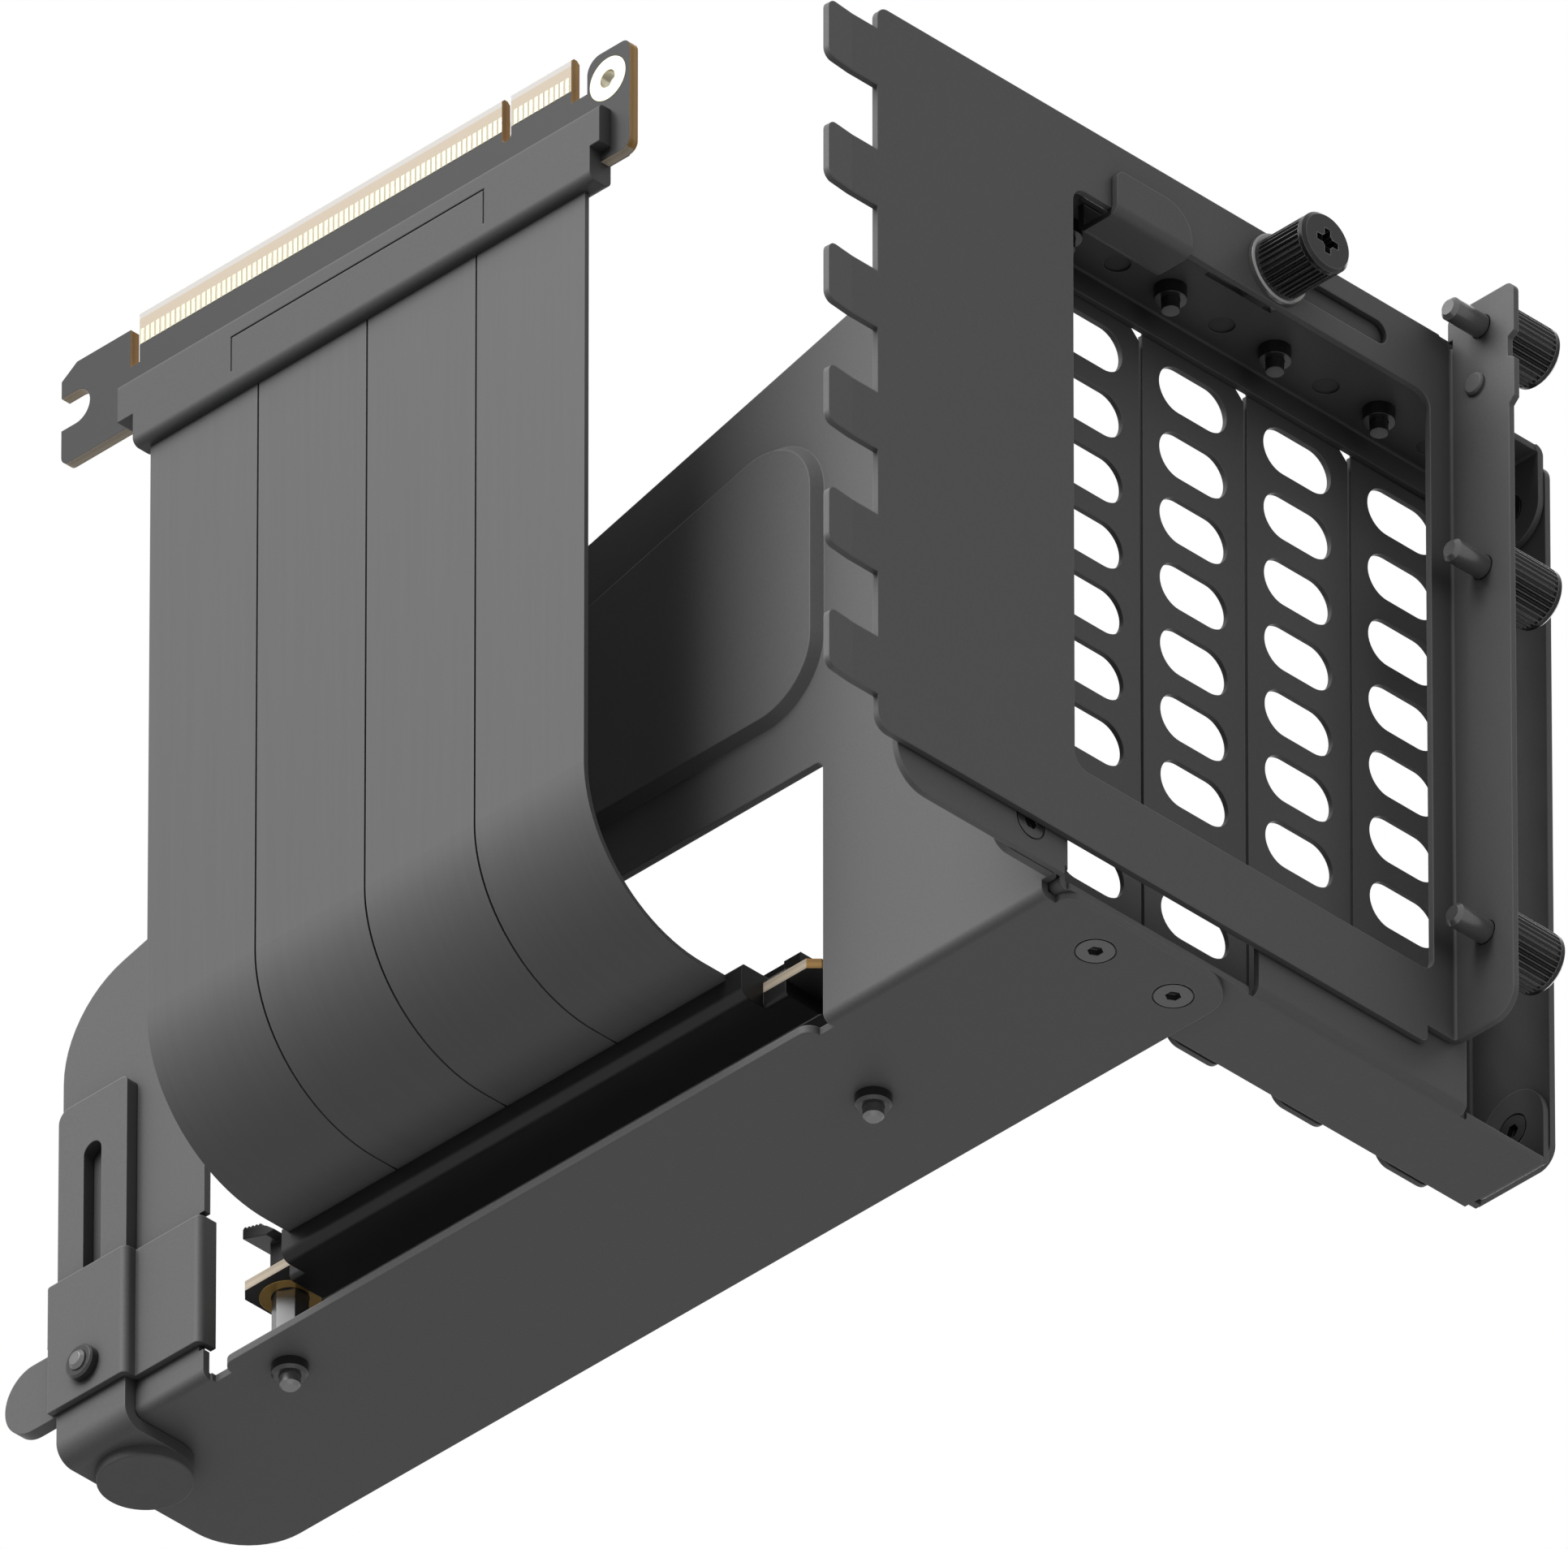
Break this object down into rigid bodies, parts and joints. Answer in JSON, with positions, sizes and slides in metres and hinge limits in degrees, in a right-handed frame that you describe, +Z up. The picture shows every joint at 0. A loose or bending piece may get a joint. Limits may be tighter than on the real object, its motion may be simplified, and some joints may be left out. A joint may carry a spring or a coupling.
{
  "type": "vertical gpu mount",
  "caption": "Bracket that stands a graphics card upright in a computer case, with a slot cage, a sliding slot frame, an adjustable foot and a flat riser.",
  "frame": {"origin": "on the base plate's underside, below the middle of the card slot", "axes": "+X towards the rear of the computer case along the card slot, +Y away from the motherboard, +Z up out of the card slot"},
  "size_m": [0.2153, 0.1427, 0.1594],
  "materials": {
    "bracket_steel": "fine satin powder coat",
    "cage_steel": "fine satin powder coat",
    "knob_black": "black anodised, satin",
    "screw_black": "black oxide",
    "washer_grey": "satin",
    "standoff_steel": "satin",
    "pad_rubber": "matte",
    "ribbon_sheath": "matte",
    "housing_plastic": "matte",
    "socket_plastic": "matte",
    "board_laminate": "dark solder mask",
    "contact_gold": "gold plated"
  },
  "bodies": {
    "mount": {"base_side_bracket": "bracket_steel", "slot_cage": "cage_steel", "cage_side_wall": "cage_steel", "slot_cover_1": "cage_steel", "slot_cover_2": "cage_steel", "slot_cover_3": "cage_steel", "slot_cover_4": "cage_steel", "slide_thumbscrew": "knob_black", "slide_washer": "washer_grey", "slide_nut": "standoff_steel", "foot_guide": "bracket_steel", "foot_lock_nut": "screw_black", "foot_lock_screw": "knob_black", "ribbon_strip_1": "ribbon_sheath", "ribbon_strip_2": "ribbon_sheath", "ribbon_strip_3": "ribbon_sheath", "ribbon_strip_4": "ribbon_sheath", "plug_board": "board_laminate", "plug_fingers": "contact_gold", "plug_plated_hole": "contact_gold", "plug_housing": "housing_plastic", "socket_board": "board_laminate", "socket_board_rings": "contact_gold", "socket_housing": "housing_plastic", "card_socket": "socket_plastic", "socket_contacts": "contact_gold", "board_standoffs": "standoff_steel", "standoff_collars": "screw_black", "board_screws": "screw_black", "base_screws": "screw_black", "flange_screws": "screw_black", "wall_screws": "screw_black", "cover_screws": "screw_black", "cover_screw_collars": "screw_black"},
    "frame": {"slot_frame": "cage_steel", "frame_thumbscrew_1": "knob_black", "frame_thumbscrew_2": "knob_black", "frame_thumbscrew_3": "knob_black"},
    "foot": {"foot_bracket": "bracket_steel", "foot_pad": "pad_rubber"},
    "latch": {"socket_latch": "socket_plastic"}
  },
  "joints": [
    {"name": "frame_slide", "type": "slide", "parent": "mount", "child": "frame", "axis": [0, -1, 0], "range_m": [0, 0.0195]},
    {"name": "foot_slide", "type": "slide", "parent": "mount", "child": "foot", "axis": [0, 0, -1], "range_m": [0, 0.036]},
    {"name": "latch_hinge", "type": "hinge", "parent": "mount", "child": "latch", "pos_m": [-0.0478, 0, 0.0168], "axis": [0, -1, 0], "range_deg": [0, 16]}
  ]
}
